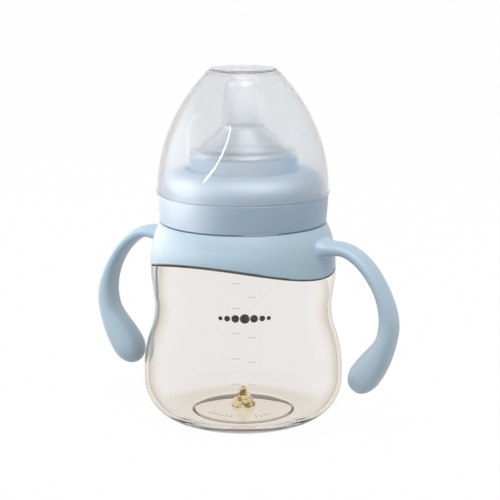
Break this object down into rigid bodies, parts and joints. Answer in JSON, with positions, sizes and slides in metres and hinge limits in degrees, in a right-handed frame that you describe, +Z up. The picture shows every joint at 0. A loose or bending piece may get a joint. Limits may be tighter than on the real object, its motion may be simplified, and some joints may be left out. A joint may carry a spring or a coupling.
{
  "type": "baby bottle",
  "caption": "Waisted wide-neck feeding bottle with a two-handled ring, screw collar, soft teat and clear domed hood.",
  "frame": {"origin": "centre of the standing face, on the bottle's axis", "axes": "+Z up the bottle's axis; the two handles lie along +X and -X; +Y is the back"},
  "size_m": [0.1268, 0.076, 0.1344],
  "materials": {
    "clear_amber": "clear gloss",
    "golden_boss": "gloss",
    "pale_blue": "satin",
    "silicone": "soft translucent",
    "clear_hood": "clear gloss"
  },
  "bodies": {
    "bottle": {"bottle": "clear_amber", "floor_boss": "golden_boss", "handle_ring": "pale_blue"},
    "nipple": {"nipple": "silicone"},
    "collar": {"collar": "pale_blue"},
    "hood": {"hood": "clear_hood"}
  },
  "joints": [
    {"name": "collar_lift", "type": "slide", "parent": "bottle", "child": "nipple", "axis": [0, 0, 1], "range_m": [0, 0.01]},
    {"name": "collar_turn", "type": "hinge", "parent": "nipple", "child": "collar", "pos_m": [0, 0, 0.0825], "axis": [0, 0, 1], "range_deg": [0, 720]},
    {"name": "hood_lift", "type": "slide", "parent": "collar", "child": "hood", "axis": [0, 0, 1], "range_m": [0, 0.06]}
  ],
  "couplings": [
    {"joint": "collar_lift", "follows": "collar_turn", "m_per_rad": 0.00079577}
  ]
}
